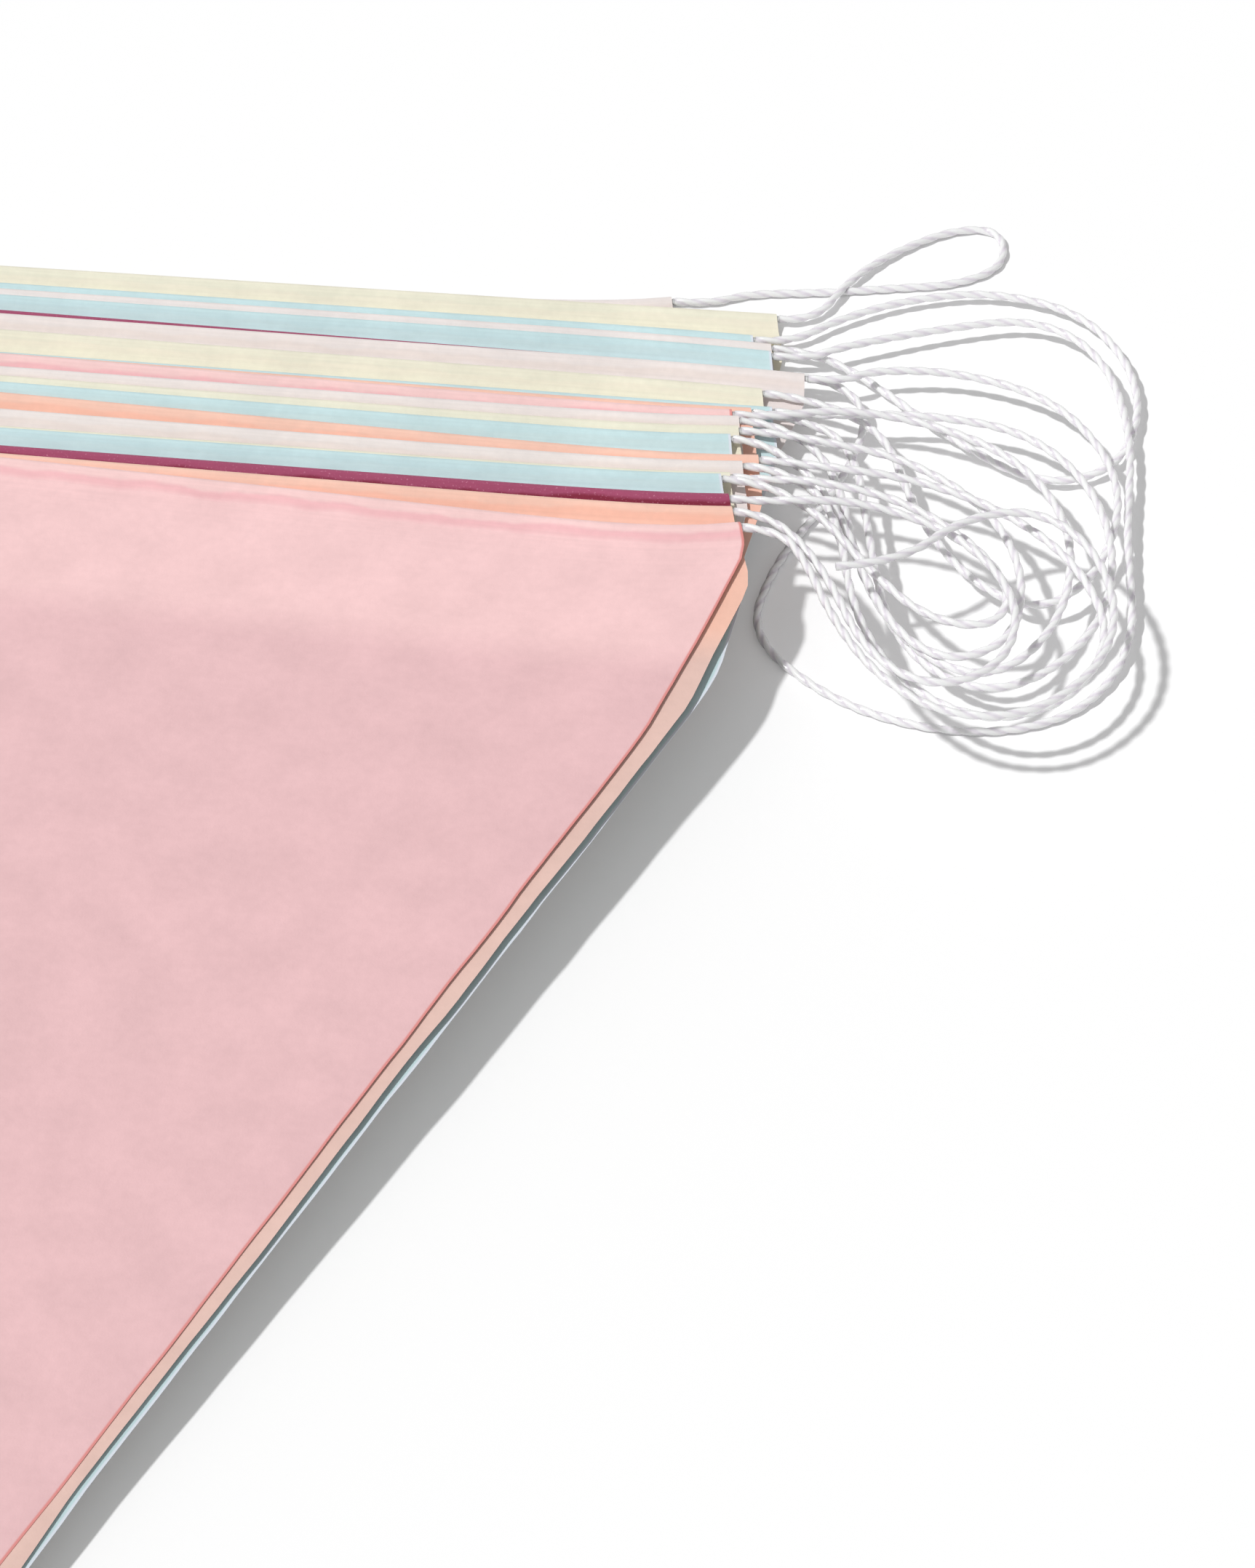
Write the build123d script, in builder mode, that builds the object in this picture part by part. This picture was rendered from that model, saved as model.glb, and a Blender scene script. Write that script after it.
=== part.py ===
"""Paper bunting, folded away: a pile of paper pennants on one thin white cord.

Every pennant is one sheet whose top strip is folded under over the cord and glued down.
The pennants lie on each other with the first on top, each hem a few millimetres behind
the one above it, and the cord between two hems stands out of the pile as a loop.
Millimetres. X runs along the hems, Y from the tips to the hems and Z up from the table.
The origin is under the middle of the paper's outline, on the table.
"""
from build123d import *
from math import acos, cos, pi, radians, sin, tan
import os

# Paper sheet
SHEET_THICKNESS = 0.12
PENNANT_LENGTH = 255.0
FLAP_DEPTH = 28.0
FOLD_HALF_WIDTH = 97.0
FIRST_HEM_EXTRA = 6.0
SHOULDER_HALF_WIDTH = 101.5
SHOULDER_DEPTH = 13.0
SHOULDER_LENGTH = 26.0
SHOULDER_TAPER = 5.5
SHOULDER_ROUNDING = 9.0
WAIST_ROUNDING = 30.0
FOLD_ROUNDING = 0.4

# Cord and its channel in the hem
CORD_DIAMETER = 1.2
CHANNEL_PLAY = 0.1
CORD_STUB = 0.6
CORD_LEAD = 6.0
TABLE_CLEARANCE = 0.05
RAMP_ANGLE = 35.0
RAMP_ROUNDING = 1.6

# Pile
TIP_LIFT = 0.3
FIRST_TURN = -1.3
TURN_STEP = 0.13

# Pennants from the top down: colour, shift along X, step back and drop from the one above,
# and the turn that it has of its own
PENNANTS = [
    ("pink", -5.0, 0.0, 0.0, 0.0),
    ("peach", -0.6, 3.1, 0.62, 0.25),
    ("burgundy", -1.4, 2.95, 0.62, 0.35),
    ("blue", -3.0, 4.7, 0.62, 0.35),
    ("yellow", -1.7, 1.9, 1.5, 0.3),
    ("white", -0.1, 3.3, 0.62, 0.2),
    ("peach", 2.2, 2.4, 0.75, 0.1),
    ("blue", -2.6, 4.4, 0.62, 0.25),
    ("yellow", -1.6, 2.8, 0.7, 0.1),
    ("white", -1.8, 2.85, 0.62, 0.0),
    ("pink", -3.1, 2.15, 0.95, 0.0),
    ("peach", -0.2, 1.95, 1.45, 0.05),
    ("blue", 3.0, 1.95, 1.45, 0.0),
    ("yellow", 1.0, 4.55, 0.62, 0.0),
    ("white", 7.6, 4.55, 0.62, 0.1),
    ("burgundy", -6.0, 2.2, 1.3, -0.45),
    ("blue", 1.5, 4.4, 0.62, 0.0),
    ("white", 1.3, 2.35, 0.75, 0.0),
    ("blue", -1.9, 2.35, 0.75, 0.0),
    ("yellow", 1.5, 6.05, 0.62, 0.0),
    ("white", -16.2, 2.85, 0.62, 0.0),
]
COUNT = len(PENNANTS)

# Cord between two hems at the right: the pennant that it leaves and the one that it enters,
# counted from the top, and the free points on its way, from the origin of the part
RIGHT_LOOPS = {
    (3, 2): [(112, 99.5, 16.7), (122, 100.5, 15.8), (136, 96.5, 14.4), (145.5, 84.5, 14),
             (144.5, 71, 14), (134.5, 64, 14), (123.5, 69, 14.6), (115.5, 86.5, 15.3)],
    (5, 4): [(112.5, 106, 14.5), (125.5, 104.5, 13.6), (137, 97.5, 12.9), (144.5, 87.5, 12.5),
             (142, 79, 12.5), (131.5, 80, 12.5), (122, 89, 13.4), (114.5, 98.5, 14.3)],
    (7, 6): [(116, 110.5, 13.2), (128.5, 110.5, 12), (142, 106, 11.2), (153.5, 96.5, 11),
             (160, 81.5, 11), (155, 67.5, 11), (143.5, 61, 11), (131.5, 65, 11),
             (121, 78.5, 11.4), (116.5, 103, 11.8)],
    (9, 8): [(113, 118, 11.5), (125.5, 117, 10.4), (139, 109, 9.5), (146, 95.5, 9.5),
             (145.5, 80, 9.5), (135, 73.5, 9.5), (124.5, 82.5, 9.5), (116.5, 106, 10.2)],
    (11, 10): [(114.5, 128, 9.3), (126.5, 126, 8.2), (140.5, 117.5, 8), (149.5, 102, 8),
               (150.5, 85, 8), (143, 72.5, 8), (131, 76, 8), (121, 91, 8.2), (115.5, 115.5, 9)],
    (13, 12): [(114.5, 129, 7), (127.5, 128, 6.8), (141.5, 123.5, 6.5), (151.5, 110.5, 6.5),
               (157, 92, 6.5), (151.5, 76, 6.5), (139, 70.5, 6.5), (126.5, 81, 6.5),
               (122, 100.5, 6.6), (118, 122.5, 7.2)],
    (15, 14): [(119.5, 142, 5.4), (132.5, 140, 5), (146, 131.5, 5), (154.5, 115.5, 5),
               (153.5, 97.5, 5), (145.5, 89, 5), (136, 96, 5), (128, 111, 5), (122.5, 128.5, 5.2)],
    (17, 16): [(113.5, 148, 4.3), (129.5, 155, 3.5), (145, 159.5, 3.5), (156.5, 152, 3.5),
               (162, 133, 3.5), (161.5, 109.5, 3.5), (164, 89, 2), (157.5, 75, 0.8),
               (145, 68.5, 0.65), (130.5, 68.5, 0.65), (117, 73.5, 0.65), (104.5, 85, 0.65),
               (107, 100, 0.65), (113, 113, 0.65), (118, 125, 1.2), (119.5, 135.5, 2.8),
               (112.5, 141, 3.8)],
    (19, 18): [(112.5, 157, 2), (124, 163.5, 2), (138.5, 167, 2), (154.5, 162.5, 2),
               (163.5, 146, 2), (161, 127.5, 2), (148, 121, 2), (132, 131.5, 2),
               (118.5, 144, 1.6)],
    (21, 20): [(97.5, 163.5, 0.65), (109.5, 165, 0.65), (121.5, 167.5, 0.65), (132, 169.5, 0.65),
               (139.5, 175, 0.65), (138.5, 184, 0.65), (130.5, 183.5, 0.65), (120.5, 176, 0.9),
               (113.5, 167, 1.6)],
}
RIGHT_TAIL = [(113, 85, 17.5), (118.5, 72.5, 17.2), (126, 63, 16.2), (136, 57.5, 15.5),
              (148.5, 59, 15.5), (158, 69.5, 15.5), (160.5, 82, 15.5), (156, 95.5, 15.5),
              (146.5, 102, 16), (135.5, 98, 16.2), (127.5, 87.5, 16.9), (117.5, 85, 17.1)]
LEFT_TAIL = [(-120.5, 162.5, 0.65), (-125.5, 172, 0.65), (-135, 179.5, 0.65),
             (-147, 183, 0.65), (-158, 180.5, 0.65)]

# Hairpins of cord at the left, from the top: how far each reaches and which way it points
LEFT_LOOPS = [(46, -38), (39, -30), (49, -22), (41, -15), (50, -8.5), (41, -1.5), (48, 4.5),
              (40, 8), (49, 15), (43, 21)]
HAIRPIN_ROOT = 10.0
HAIRPIN_HALF_WIDTH = 4.1
NECK = (6.0, 1.2, 0.8)
MIDDLE = (20.0, 2.0, 0.4)

CHANNEL_RADIUS = CORD_DIAMETER / 2 + CHANNEL_PLAY
ROLL_RADIUS = CHANNEL_RADIUS + SHEET_THICKNESS
DOUBLE_SHEET = 2 * SHEET_THICKNESS


def total(column, last):
    """Sum of a pile column from the top pennant down to number last."""
    return sum(row[column] for row in PENNANTS[1:last + 1])


def lift(number):
    """Height of a hem's underside above the table."""
    return total(3, COUNT - 1) - total(3, number)


def turn(number):
    return FIRST_TURN + TURN_STEP * number + PENNANTS[number][4]


def plan_point(number, along, back):
    """A point of a pennant's own plan, from the middle of the top pennant's fold."""
    angle = radians(turn(number))
    x = PENNANTS[number][1] + along * cos(angle) - back * sin(angle)
    y = total(2, number) + along * sin(angle) + back * cos(angle)
    return x, y


def pile_middle():
    """Middle of the box round all the pennants, seen from above."""
    shoulder = SHOULDER_HALF_WIDTH
    outline = [(-shoulder, -SHOULDER_DEPTH), (shoulder, -SHOULDER_DEPTH), (0, -PENNANT_LENGTH),
               (-FOLD_HALF_WIDTH, ROLL_RADIUS), (FOLD_HALF_WIDTH, ROLL_RADIUS)]
    spots = [plan_point(number, *corner) for number in range(COUNT) for corner in outline]
    across = [spot[0] for spot in spots]
    deep = [spot[1] for spot in spots]
    return (min(across) + max(across)) / 2, (min(deep) + max(deep)) / 2


MIDDLE_X, MIDDLE_Y = pile_middle()


def hem_plane(number):
    """Plane of a fold seen from above, on the table: x along the hem and y to its back."""
    x, y = plan_point(number, 0, 0)
    angle = radians(turn(number))
    return Plane(origin=(x - MIDDLE_X, y - MIDDLE_Y, 0), x_dir=(cos(angle), sin(angle), 0))


def fold_half_width(number):
    """Half the length of a hem; the first pennant's is cut wider than the rest."""
    return FOLD_HALF_WIDTH + (FIRST_HEM_EXTRA if number == 0 else 0)


def sheet_outline(number, back_edge):
    """Half of the sheet's plan: a triangle with a rounded shoulder that narrows to the fold."""
    flare = (SHOULDER_HALF_WIDTH - fold_half_width(number)) / SHOULDER_DEPTH
    fold = fold_half_width(number) - flare * back_edge
    waist = SHOULDER_HALF_WIDTH - SHOULDER_TAPER
    waist_depth = SHOULDER_DEPTH + SHOULDER_LENGTH
    FilletPolyline(
        (0, back_edge), (fold, back_edge), (SHOULDER_HALF_WIDTH, -SHOULDER_DEPTH),
        (waist, -waist_depth), (0, -PENNANT_LENGTH),
        radius=[FOLD_ROUNDING, SHOULDER_ROUNDING, WAIST_ROUNDING])


def make_pennant(number, name):
    """One folded sheet: body, fold round the cord and the flap glued underneath."""
    rest = lift(number)
    centre = rest + ROLL_RADIUS
    climb = total(2, COUNT - 1) - total(2, number)
    slope = (rest - (COUNT - 1 - number) * TIP_LIFT) / (PENNANT_LENGTH - climb)
    ramp = radians(RAMP_ANGLE)

    def level(back, above):
        """Height over the table of the flat part, at a place before the fold."""
        return rest + slope * back + above

    def sheet_side(radius, above, rounding, tip_height):
        """One face of the sheet in side view, from its tip to the fold."""
        start = (-radius * sin(ramp), centre + radius * cos(ramp))
        run = (start[1] - level(start[0], above)) / (tan(ramp) - slope)
        foot = (start[0] - run, level(start[0] - run, above))
        bend = (climb - PENNANT_LENGTH, level(climb - PENNANT_LENGTH, above))
        tip = (-PENNANT_LENGTH, tip_height)
        if climb > 0:
            FilletPolyline(tip, bend, foot, start, radius=[0, rounding])
        else:
            FilletPolyline((-PENNANT_LENGTH, bend[1]), foot, start, radius=rounding)

    plane = hem_plane(number)
    side = Plane(origin=plane.origin, x_dir=plane.y_dir, z_dir=plane.x_dir)
    tip_base = 0 if climb > 0 else SHEET_THICKNESS
    with BuildPart() as pennant:
        with BuildSketch(side):
            with BuildLine():
                sheet_side(ROLL_RADIUS, DOUBLE_SHEET, RAMP_ROUNDING, SHEET_THICKNESS)
                CenterArc((0, centre), ROLL_RADIUS, 90 + RAMP_ANGLE, -180 - RAMP_ANGLE)
                Line((0, rest), (0, rest + SHEET_THICKNESS))
                CenterArc((0, centre), CHANNEL_RADIUS, -90, 180 + RAMP_ANGLE)
                sheet_side(CHANNEL_RADIUS, SHEET_THICKNESS, RAMP_ROUNDING + SHEET_THICKNESS, 0)
                Line((-PENNANT_LENGTH, tip_base), (-PENNANT_LENGTH, tip_base + SHEET_THICKNESS))
            make_face()
        extrude(amount=SHOULDER_HALF_WIDTH + FIRST_HEM_EXTRA, both=True)
        with BuildSketch(side):
            Polygon(
                (0, rest), (-FLAP_DEPTH, level(-FLAP_DEPTH, 0)),
                (-FLAP_DEPTH, level(-FLAP_DEPTH, SHEET_THICKNESS)), (0, rest + SHEET_THICKNESS),
                align=None)
        extrude(amount=fold_half_width(number), both=True)
        with BuildSketch(plane):
            with BuildLine():
                sheet_outline(number, ROLL_RADIUS + CHANNEL_PLAY)
                mirror(about=Plane.YZ)
            make_face()
        extrude(amount=centre + 2 * ROLL_RADIUS, mode=Mode.INTERSECT)
    pennant.part.label = name
    export_step(pennant.part, f"parts/{name}.step")


def hem_point(number, side, beyond):
    """Centre of the cord at a hem, some way beyond its right (1) or left (-1) end."""
    x, y = plan_point(number, side * (fold_half_width(number) + beyond), 0)
    return Vector(x - MIDDLE_X, y - MIDDLE_Y, lift(number) + ROLL_RADIUS)


def hem_exit(number, side):
    """The end of the cord in a hem, and the point towards which it comes out."""
    return [hem_point(number, side, CORD_STUB), hem_point(number, side, CORD_STUB + CORD_LEAD)]


def hairpin(upper, reach, heading):
    """Free points of a loop at the left that falls from two neighbouring hems to the table."""
    lower_lead = hem_exit(upper + 1, -1)[1]
    upper_lead = hem_exit(upper, -1)[1]
    root = (lower_lead + upper_lead) / 2 - Vector(HAIRPIN_ROOT, 0, 0)
    onward = Vector(-cos(radians(heading)), sin(radians(heading)), 0)
    across = Vector(sin(radians(heading)), cos(radians(heading)), 0)
    rest = CORD_DIAMETER / 2 + TABLE_CLEARANCE

    def strand(side, from_height):
        for distance, spread, share in (NECK, MIDDLE):
            spot = root + onward * distance + across * side * spread
            yield Vector(spot.X, spot.Y, max(rest, from_height * share))
        spot = root + onward * reach + across * side * HAIRPIN_HALF_WIDTH
        yield Vector(spot.X, spot.Y, rest)

    return [*strand(1, lower_lead.Z), *reversed([*strand(-1, upper_lead.Z)])]


def make_cord(name, route):
    """A free stretch of cord: straight runs between the points, with an arc at each one."""
    points = [Vector(*point) for point in route]
    runs = [end - start for start, end in zip(points, points[1:])]
    radii = []
    for before, after in zip(runs, runs[1:]):
        half_turn = acos(before.normalized().dot(after.normalized())) / 2
        radii.append(0.45 * min(before.length, after.length) / tan(half_turn))
    with BuildPart() as cord:
        with BuildLine() as path:
            FilletPolyline(*points, radius=radii)
        with BuildSketch(Plane(origin=path.line @ 0, z_dir=path.line % 0)):
            Circle(CORD_DIAMETER / 2)
        sweep(path=path.line)
    length = sum(edge.length for edge in path.edges())
    expected = pi * CORD_DIAMETER ** 2 / 4 * length
    print(f"{name}: {length:.0f} mm, {cord.part.volume / expected:.4f} of section x length, radii",
          *(f"{radius:.1f}" for radius in radii))
    cord.part.label = name
    export_step(cord.part, f"parts/{name}.step")


def make_hem_cords(name):
    """The cord inside the hems: one straight stretch in each."""
    with BuildPart() as cords:
        for number in range(COUNT):
            start = hem_exit(number, -1)[0]
            stretch = hem_exit(number, 1)[0] - start
            with BuildSketch(Plane(origin=start, z_dir=stretch)):
                Circle(CORD_DIAMETER / 2)
            extrude(amount=stretch.length)
    cords.part.label = name
    export_step(cords.part, f"parts/{name}.step")


os.makedirs("parts", exist_ok=True)
for number, row in enumerate(PENNANTS):
    make_pennant(number, f"pennant_{number + 1:02d}_{row[0]}")
make_hem_cords("cord_in_hems")
for (lower, upper), points in RIGHT_LOOPS.items():
    make_cord(f"loop_right_{upper:02d}_{lower:02d}",
              [*hem_exit(lower - 1, 1), *points, *reversed(hem_exit(upper - 1, 1))])
for pair, (reach, heading) in enumerate(LEFT_LOOPS):
    upper = 2 * pair
    make_cord(f"loop_left_{upper + 1:02d}_{upper + 2:02d}",
              [*hem_exit(upper + 1, -1), *hairpin(upper, reach, heading), *reversed(hem_exit(upper, -1))])
make_cord("cord_tail_right", [*hem_exit(0, 1), *RIGHT_TAIL])
make_cord("cord_tail_left", [*hem_exit(COUNT - 1, -1), *LEFT_TAIL])
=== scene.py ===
# %% [markdown]
# # Paper bunting, folded away
# The real object is a string of tissue paper pennants on one twisted cord. It is folded
# together for storage: the pennants lie on each other like a fanned pack of cards, and
# the cord between two hems sticks out of the pile as a loop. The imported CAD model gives
# every size and place here. Blender adds what a solid can't show: thin soft paper with
# fibres and creases, and cord with its twist.

import math

import bpy
import numpy as np
from mathutils import Matrix, Vector


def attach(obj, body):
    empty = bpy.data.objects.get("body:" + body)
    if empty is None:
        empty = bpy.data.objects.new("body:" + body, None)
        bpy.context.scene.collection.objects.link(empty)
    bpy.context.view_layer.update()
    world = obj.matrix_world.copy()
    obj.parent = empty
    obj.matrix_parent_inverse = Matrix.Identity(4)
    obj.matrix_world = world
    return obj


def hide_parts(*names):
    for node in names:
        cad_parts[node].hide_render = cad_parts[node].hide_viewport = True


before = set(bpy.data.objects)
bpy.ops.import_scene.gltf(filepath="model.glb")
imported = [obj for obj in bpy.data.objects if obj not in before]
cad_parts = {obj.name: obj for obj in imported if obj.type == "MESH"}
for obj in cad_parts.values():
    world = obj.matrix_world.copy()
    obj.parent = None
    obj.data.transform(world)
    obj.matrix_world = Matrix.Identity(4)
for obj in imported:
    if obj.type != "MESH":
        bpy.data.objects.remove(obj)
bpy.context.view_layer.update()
MM = 0.001

# %% [markdown]
# ## The pile
# One row of numbers places a whole pennant, so the pile is a short table, with the top
# pennant first: its colour, its shift along the hem, how far it lies behind the one
# above it, how much lower its hem is, and the turn of its own that a hand gave it. The
# last two numbers are for the eye alone: a further small turn about the right end of the
# hem, and how far the middle of the hem bows forward, because real hems aren't parallel.
# The other sizes of a pennant are the same for all. They are written in millimetres, as
# a paper maker would, and are turned into metres where a mesh is made. The cord is drawn
# a little thicker than the solid's 1.2 mm, as it looks in the photograph.

# %% Sizes of the pennants and the pile
SHEET = 0.12
PENNANT_LENGTH = 255.0
FLAP_DEPTH = 28.0
FOLD_HALF_WIDTH = 97.0
FIRST_HEM_EXTRA = 6.0
CORD, CORD_DRAWN = 1.2, 1.38
CORD_ON_TABLE = 0.65
CHANNEL_RADIUS = 0.7
ROLL_RADIUS = CHANNEL_RADIUS + SHEET
RAMP_ANGLE = 35.0
RAMP_ROUNDING = 1.66
SHOULDER_ROUNDING, WAIST_ROUNDING = 9.0, 30.0
CORD_STUB = 0.6
CORD_LEAD = 6.0
TIP_LIFT = 0.3
FIRST_TURN = -1.3
TURN_STEP = 0.13
MIDDLE = (-4.072, -94.082)
BOW_POWER = 8
FIRST_BOW_LEAN = 2

PENNANTS = [
    ("pink", -5.0, 0.0, 0.0, 0.0, 0.0, 4.0),
    ("peach", -0.6, 3.1, 0.62, 0.25, 0.55, 1.3),
    ("burgundy", -1.4, 2.95, 0.62, 0.35, 0.9, 1.1),
    ("blue", -3.0, 4.7, 0.62, 0.35, 0.94, 1.1),
    ("yellow", -1.7, 1.9, 1.5, 0.3, 0.9, 1.1),
    ("white", -0.1, 3.3, 0.62, 0.2, 0.15, 1.4),
    ("peach", 2.2, 2.4, 0.75, 0.1, -1.0, 1.7),
    ("blue", -2.6, 4.4, 0.62, 0.25, -0.3, 1.4),
    ("yellow", -1.6, 2.8, 0.7, 0.1, 0.0, 1.4),
    ("white", -1.8, 2.85, 0.62, 0.0, 0.14, 1.2),
    ("pink", -3.1, 2.15, 0.95, 0.0, -0.6, 0.8),
    ("peach", -0.2, 1.95, 1.45, 0.05, -0.3, 0.5),
    ("blue", 3.0, 1.95, 1.45, 0.0, -0.1, 0.2),
    ("yellow", 1.0, 4.55, 0.62, 0.0, -0.5, -0.5),
    ("white", 7.6, 4.55, 0.62, 0.1, -0.44, -0.7),
    ("burgundy", -6.0, 2.2, 1.3, -0.45, -0.5, -0.4),
    ("blue", 1.5, 4.4, 0.62, 0.0, -0.5, -0.7),
    ("white", 1.3, 2.35, 0.75, 0.0, -0.55, -0.6),
    ("blue", -1.9, 2.35, 0.75, 0.0, -0.6, -0.4),
    ("yellow", 1.5, 6.05, 0.62, 0.0, -0.3, 0.0),
    ("white", -16.2, 2.85, 0.62, 0.0, -0.2, 2.9),
]
COUNT = len(PENNANTS)


def total(column, last):
    return sum(row[column] for row in PENNANTS[1:last + 1])


def lift(number):
    """Height of a hem's underside above the table."""
    return total(3, COUNT - 1) - total(3, number)


def drawn_turn(number):
    return math.radians(FIRST_TURN + TURN_STEP * number + PENNANTS[number][4])


def turn(number):
    """Turn of a hem as it lies, about its right end."""
    return drawn_turn(number) + math.radians(PENNANTS[number][5])


def place(number, along, back, height):
    """Points of a pennant, given along its hem, back from its fold and up, in the row frame."""
    angle, drawn = turn(number), drawn_turn(number)
    x = PENNANTS[number][1] + FOLD_HALF_WIDTH * (math.cos(drawn) - math.cos(angle)) - MIDDLE[0]
    y = total(2, number) + FOLD_HALF_WIDTH * (math.sin(drawn) - math.sin(angle)) - MIDDLE[1]
    x = x + along * math.cos(angle) - back * math.sin(angle)
    y = y + along * math.sin(angle) + back * math.cos(angle)
    return np.stack(np.broadcast_arrays(x, y, height), axis=-1) * MM


def bow_lean(number):
    """The first hem bows most at its right; a hem with no lean bows evenly along its length."""
    return FIRST_BOW_LEAN if number == 0 else 0


def fold_half_width(number):
    return FOLD_HALF_WIDTH + (FIRST_HEM_EXTRA if number == 0 else 0)


def hem_exit(number, side):
    """Where the cord leaves a hem at its right (1) or left (-1) end, and the point ahead of it."""
    return [place(number, side * (fold_half_width(number) + beyond), 0, lift(number) + ROLL_RADIUS)
            for beyond in (CORD_STUB, CORD_STUB + CORD_LEAD)]


# %% [markdown]
# ## Camera
# The photograph looks down on the pile from its tip side, through a long lens that keeps
# the hems almost parallel. The camera stands where the pile's own sizes fall on the right
# pixels: the anchor is the right shoulder of the second pennant, 660 mm away.

# %% Camera
ELEVATION, AZIMUTH = 48.0, 6.2
FOCAL_PIXELS, PHOTO_WIDTH, PHOTO_HEIGHT = 6000, 1725, 2156
ANCHOR, ANCHOR_PIXEL, ANCHOR_DISTANCE = (0.10475, 0.08255, 0.01536), (1031, 797), 0.660

elevation, azimuth = math.radians(ELEVATION), math.radians(AZIMUTH)
forward = Vector((-math.sin(azimuth) * math.cos(elevation),
                  math.cos(azimuth) * math.cos(elevation), -math.sin(elevation)))
right = Vector((math.cos(azimuth), math.sin(azimuth), 0))
up = right.cross(forward)
aside = (ANCHOR_PIXEL[0] - PHOTO_WIDTH / 2) / FOCAL_PIXELS * ANCHOR_DISTANCE
below = (ANCHOR_PIXEL[1] - PHOTO_HEIGHT / 2) / FOCAL_PIXELS * ANCHOR_DISTANCE
camera_data = bpy.data.cameras.new("photo_camera")
camera_data.sensor_fit = "VERTICAL"
camera_data.sensor_height = 36
camera_data.lens = FOCAL_PIXELS / PHOTO_HEIGHT * 36
camera = bpy.data.objects.new("photo_camera", camera_data)
bpy.context.scene.collection.objects.link(camera)
camera.matrix_world = Matrix.LocRotScale(
    Vector(ANCHOR) - forward * ANCHOR_DISTANCE - right * aside + up * below,
    Matrix((right, up, -forward)).transposed().to_quaternion(), None)
bpy.context.scene.camera = camera
print("camera at", tuple(round(v, 3) for v in camera.location), "lens", round(camera_data.lens, 1))

# %% [markdown]
# ## Routes of the cord
# A cord can't be drawn as one long line here, because most of it is hidden in the hems.
# Each free stretch is a curve of its own, which leaves one hem and goes into the next.
# A NURBS curve of order 3 turns a few chosen points into the soft bends of a limp cord.
# The loops at the right lie over each other in a tangle, so their points are chosen one
# by one, with the stretches from the upper hems on top. The loops at the left are plain
# hairpins that fall to the table in a fan. The lengths in the list below are those of the
# CAD tubes. Three loops, 10 to 11, 12 to 13 and 14 to 15, are drawn 3 to 7 percent longer
# than their tubes, because in the photograph they reach further out.

# %% Points of the loops
RIGHT_LOOPS = {
    (3, 2): [(112, 99.5, 16.7), (122, 100.5, 15.8), (136, 96.5, 14.4), (145.5, 84.5, 14),
             (144.5, 71, 14), (134.5, 64, 14), (123.5, 69, 14.6), (115.5, 86.5, 15.3)],
    (5, 4): [(112.5, 106, 14.5), (125.5, 104.5, 13.6), (137, 97.5, 12.9), (144.5, 87.5, 12.5),
             (142, 79, 12.5), (131.5, 80, 12.5), (122, 89, 13.4), (114.5, 98.5, 14.3)],
    (7, 6): [(116, 110.5, 13.2), (128.5, 110.5, 12), (142, 106, 11.2), (153.5, 96.5, 11),
             (160, 81.5, 11), (155, 67.5, 11), (143.5, 61, 11), (131.5, 65, 11),
             (121, 78.5, 11.4), (116.5, 103, 11.8)],
    (9, 8): [(113, 118, 11.5), (125.5, 117, 10.4), (139, 109, 9.5), (146, 95.5, 9.5),
             (145.5, 80, 9.5), (135, 73.5, 9.5), (124.5, 82.5, 9.5), (116.5, 106, 10.2)],
    (11, 10): [(114.5, 128, 9.3), (128, 128, 8.2), (144, 121.5, 8), (153.5, 106, 8),
               (152.5, 86, 8), (143, 72.5, 8), (131, 76, 8), (121, 91, 8.2), (115.5, 115.5, 9)],
    (13, 12): [(114.5, 129, 7), (128.5, 131, 6.8), (146, 129, 6.5), (158, 114.5, 6.5),
               (160.5, 93, 6.5), (151.5, 76, 6.5), (139, 70.5, 6.5), (126.5, 81, 6.5),
               (122, 100.5, 6.6), (118, 122.5, 7.2)],
    (15, 14): [(119.5, 142, 5.4), (134, 143.5, 5), (150.5, 138, 5), (161, 121, 5),
               (158.5, 101, 5), (149, 90, 5), (137, 96.5, 5), (128, 111, 5), (122.5, 128.5, 5.2)],
    (17, 16): [(113.5, 148, 4.3), (129.5, 155, 3.5), (145, 159.5, 3.5), (156.5, 152, 3.5),
               (162, 133, 3.5), (161.5, 109.5, 3.5), (164, 89, 2), (157.5, 75, 0.8),
               (145, 68.5, 0.65), (130.5, 68.5, 0.65), (117, 73.5, 0.65), (104.5, 85, 0.65),
               (107, 100, 0.65), (113, 113, 0.65), (118, 125, 1.2), (119.5, 135.5, 2.8),
               (112.5, 141, 3.8)],
    (19, 18): [(112.5, 157, 2), (124, 163.5, 2), (138.5, 167, 2), (154.5, 162.5, 2),
               (163.5, 146, 2), (161, 127.5, 2), (148, 121, 2), (132, 131.5, 2),
               (118.5, 144, 1.6)],
    (21, 20): [(97.5, 163.5, 0.65), (109.5, 165, 0.65), (121.5, 167.5, 0.65), (132, 169.5, 0.65),
               (139.5, 175, 0.65), (138.5, 184, 0.65), (130.5, 183.5, 0.65), (120.5, 176, 0.9),
               (113.5, 167, 1.6)],
}
RIGHT_TAIL = [(113, 85, 17.5), (118.5, 72.5, 17.2), (126, 63, 16.2), (136, 57.5, 15.5),
              (148.5, 59, 15.5), (158, 69.5, 15.5), (160.5, 82, 15.5), (156, 95.5, 15.5),
              (146.5, 102, 16), (135.5, 98, 16.2), (127.5, 87.5, 16.9), (117.5, 85, 17.1)]
LEFT_TAIL = [(-120.5, 162.5, 0.65), (-125.5, 172, 0.65), (-135, 179.5, 0.65),
             (-147, 183, 0.65), (-158, 180.5, 0.65)]
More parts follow.
